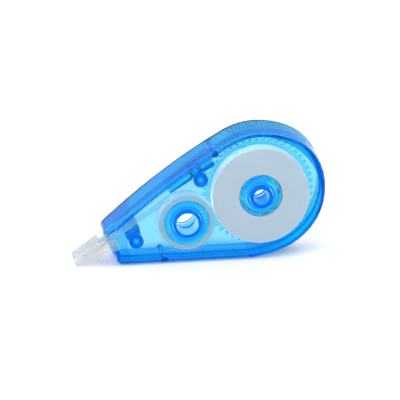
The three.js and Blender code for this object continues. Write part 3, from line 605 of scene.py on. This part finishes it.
LOOKS = {
    "front_cover": FRONT,
    "rear_cover": REAR,
    "supply_gear": GEAR,
    "take_up_gear": GEAR,
    "spool_clip": FLANGE,
    "supply_spool": GEAR,
    "friction_washer": WASHER,
    "tape_roll": TAPE,
    "tape_outer_turn": TAPE_TURN,
    "tape_strand": TAPE_STRAND,
    "liner_roll": LINER,
    "liner_outer_turn": LINER_TURN,
    "liner_strand": LINER_STRAND,
    "take_up_flange": FLANGE,
    "applicator_head": CLEAR,
    "tip_cap": CLEAR,
}


# Pieces
def from_axis(point, axis):
    return math.hypot(point.x - axis[0], point.z - axis[2])


def meet_outer_turn(mesh, turn_mesh, axis):
    """Bring the roll's outer wall up to the turn that lies on it."""
    reach = max(from_axis(vertex.co, axis) for vertex in mesh.vertices)
    inside = min(from_axis(vertex.co, axis) for vertex in turn_mesh.vertices)
    growth = (inside - TURN_GAP) / reach
    for vertex in mesh.vertices:
        if from_axis(vertex.co, axis) > OUTER_WALL_SHARE * reach:
            vertex.co.x = axis[0] + (vertex.co.x - axis[0]) * growth
            vertex.co.z = axis[2] + (vertex.co.z - axis[2]) * growth


def smooth_piece(node, material):
    """A copy of a CAD node whose round stretches are shaded smooth."""
    mesh = frame["nodes"][node].data.copy()
    mesh.name = node + "_look"
    mesh.materials.clear()
    mesh.materials.append(material)
    piece = bpy.data.objects.new(node + "_look", mesh)
    bpy.context.scene.collection.objects.link(piece)
    if node in WOUND_ROLLS:
        turn_mesh = frame["nodes"][WOUND_ROLLS[node]].data
        meet_outer_turn(mesh, turn_mesh, axis_where("child", body_of_node(node)))
    mesh.shade_smooth()
    mesh.set_sharp_from_angle(angle=SMOOTH_ANGLE)
    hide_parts(node)
    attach(piece, body_of_node(node))


for node_name, look in LOOKS.items():
    smooth_piece(node_name, look)


# Floor
def shade_under_case(material):
    """Painted shadow: blue where the case stands and white past it, for the floor seen through the
    plastic.
    """
    scaled = vector_of(material, "DIVIDE", object_coordinates(material), SHADE_REACH)
    distance = number_of(material, "LENGTH", scaled)
    return color_ramp(material, distance, SHADE_START, SHADE_COLOR, 1.0, WHITE)


def make_floor():
    bpy.ops.mesh.primitive_plane_add(size=FLOOR_SIZE, location=(0.0, 0.0, 0.0))
    floor = bpy.context.active_object
    floor.name = "floor"
    material, shader, output = new_material("floor_white")
    shader.inputs["Base Color"].default_value = rgba(FLOOR_COLOR)
    shader.inputs["Roughness"].default_value = FLOOR_ROUGHNESS
    shader.inputs["Specular IOR Level"].default_value = FLOOR_SPECULAR
    glow = new_node(material, "ShaderNodeEmission")
    feed(material, glow.inputs["Color"], shade_under_case(material))
    path = new_node(material, "ShaderNodeLightPath")
    surface = mixed_shaders(material, path.outputs["Is Transmission Ray"], shader.outputs["BSDF"],
                            glow.outputs["Emission"])
    feed(material, output.inputs["Surface"], surface)
    floor.data.materials.append(material)


make_floor()


# Light
def sky(world, color, level):
    background = new_node(world, "ShaderNodeBackground")
    background.inputs["Color"].default_value = rgba(color)
    background.inputs["Strength"].default_value = level
    return background.outputs["Background"]


def make_world():
    """White light all round, seen as plain white and mirrored as pale blue."""
    world = bpy.data.worlds.new("studio")
    bpy.context.scene.world = world
    world.use_nodes = True
    world.node_tree.nodes.clear()
    output = new_node(world, "ShaderNodeOutputWorld")
    path = new_node(world, "ShaderNodeLightPath")
    seen = math_node(world, "MAXIMUM", path.outputs["Is Camera Ray"],
                     path.outputs["Is Transmission Ray"])
    surface = mixed_shaders(world, seen, sky(world, WHITE, WORLD_LEVEL), sky(world, WHITE, SEEN_LEVEL))
    mirrored = sky(world, REFLECTED_SKY, REFLECTED_LEVEL)
    surface = mixed_shaders(world, path.outputs["Is Glossy Ray"], surface, mirrored)
    feed(world, output.inputs["Surface"], surface)


def area_light(name, place, size, power):
    data = bpy.data.lights.new(name, "AREA")
    data.shape = "DISK"
    data.size = size
    data.energy = power
    lamp = bpy.data.objects.new(name, data)
    bpy.context.scene.collection.objects.link(lamp)
    aim = (CAMERA_TARGET - place).to_track_quat("-Z", "Y")
    lamp.matrix_world = Matrix.Translation(place) @ aim.to_matrix().to_4x4()


make_world()
area_light("key", KEY_PLACE, KEY_SIZE, KEY_POWER)
area_light("back", BACK_PLACE, BACK_SIZE, BACK_POWER)


# Camera
def make_camera():
    data = bpy.data.cameras.new("camera")
    data.sensor_width = SENSOR_WIDTH
    data.lens = SENSOR_WIDTH * CAMERA_DISTANCE / VIEW_WIDTH
    data.clip_end = CAMERA_REACH
    camera = bpy.data.objects.new("camera", data)
    bpy.context.scene.collection.objects.link(camera)
    turn, rise = CAMERA_AZIMUTH, CAMERA_ELEVATION
    right = Vector((math.cos(turn), math.sin(turn), 0.0))
    back = Vector((math.sin(turn) * math.cos(rise), -math.cos(turn) * math.cos(rise), math.sin(rise)))
    level_up = back.cross(right)
    tilted = right * math.cos(CAMERA_ROLL) - level_up * math.sin(CAMERA_ROLL)
    up = right * math.sin(CAMERA_ROLL) + level_up * math.cos(CAMERA_ROLL)
    place = CAMERA_TARGET + back * CAMERA_DISTANCE
    axes = Matrix((tilted, up, back)).transposed().to_4x4()
    camera.matrix_world = Matrix.Translation(place) @ axes
    bpy.context.scene.camera = camera


make_camera()

# Render settings
scene = bpy.context.scene
scene.view_settings.view_transform = "Standard"
scene.cycles.max_bounces = BOUNCES
scene.cycles.transmission_bounces = BOUNCES
scene.cycles.glossy_bounces = GLOSSY_BOUNCES
scene.cycles.transparent_max_bounces = TRANSPARENT_BOUNCES
